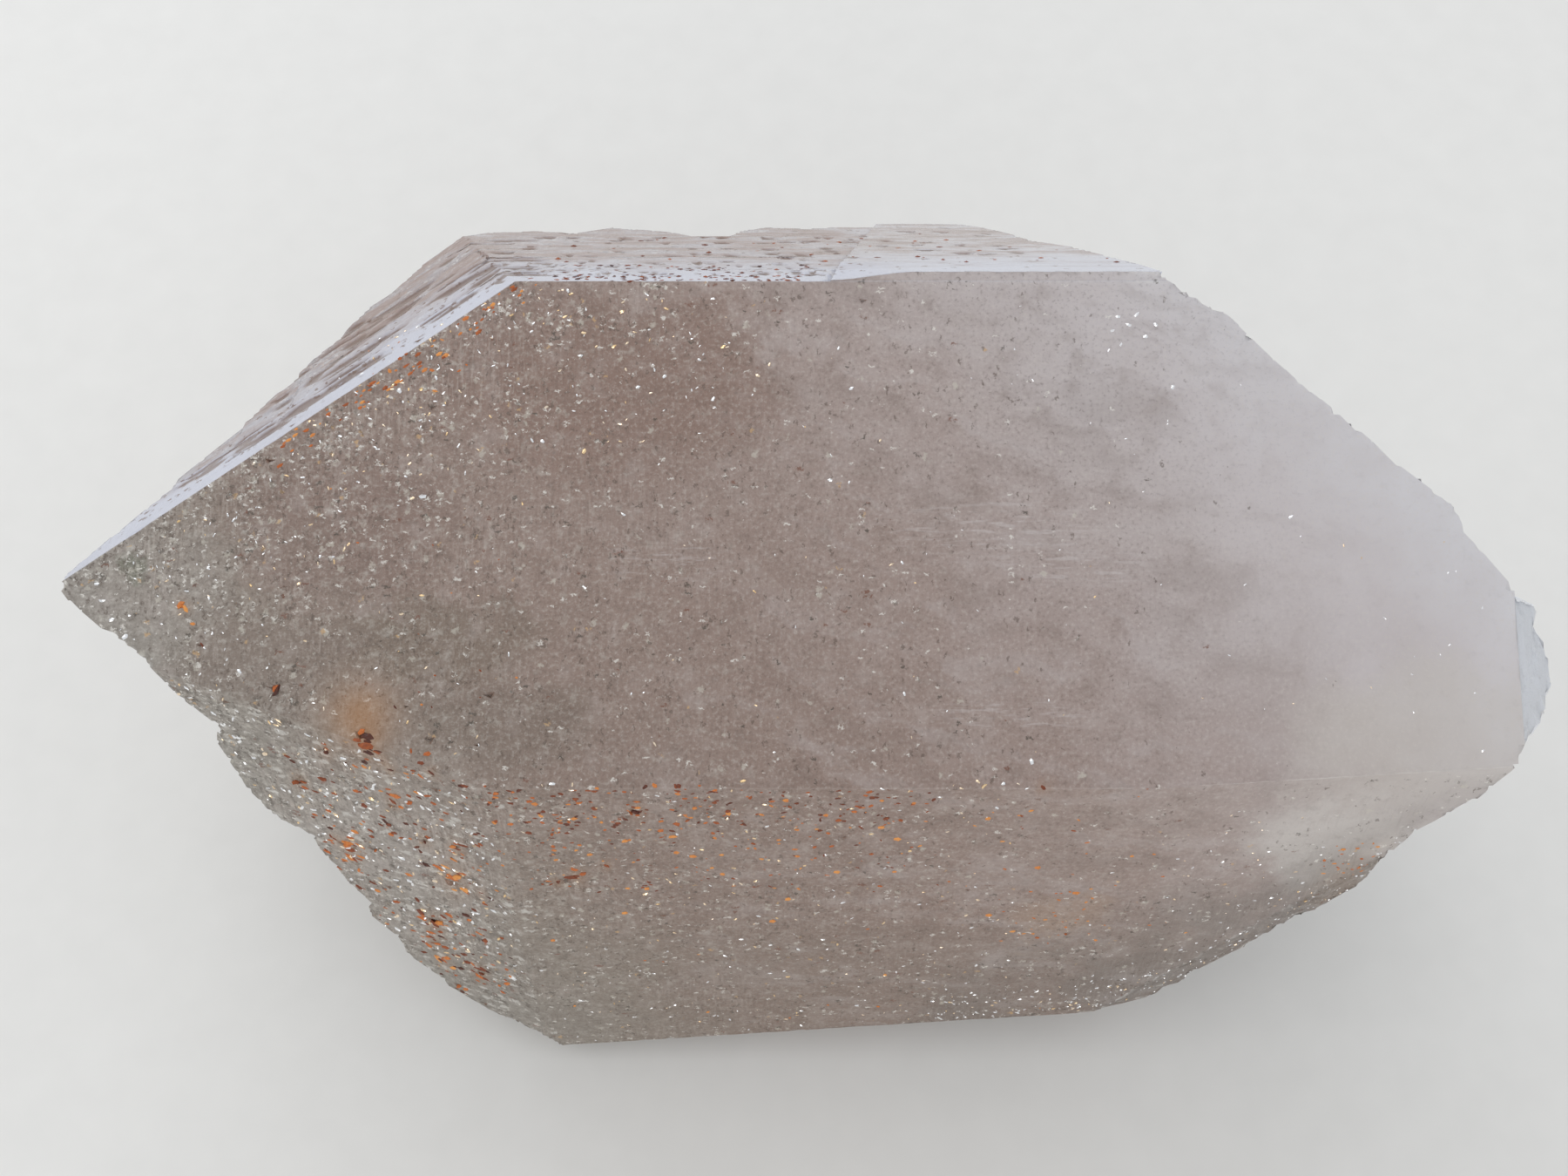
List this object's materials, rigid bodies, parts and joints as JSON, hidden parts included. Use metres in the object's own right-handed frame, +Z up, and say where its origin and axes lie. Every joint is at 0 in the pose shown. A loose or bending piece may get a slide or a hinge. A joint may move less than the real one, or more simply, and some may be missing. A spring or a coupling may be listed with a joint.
{
  "type": "smoky quartz crystal",
  "caption": "Smoky quartz crystal lying on its side, with flat prism faces, a natural point, stepped growth layers along its back and a broken far end; a display specimen.",
  "frame": {"origin": "on the resting plane, under the centre of the crystal's bounding box", "axes": "+X along the crystal's length from its point to the broken end, +Y from the front to the stepped growth layers at the back, +Z up, as the crystal lies"},
  "size_m": [0.0704, 0.0434, 0.0329],
  "materials": {
    "smoky_quartz": "cloudy smoky brown-grey quartz, satin on the large faces and glossy on the stepped ones"
  },
  "bodies": {
    "root": {"crystal": "smoky_quartz"}
  },
  "joints": []
}
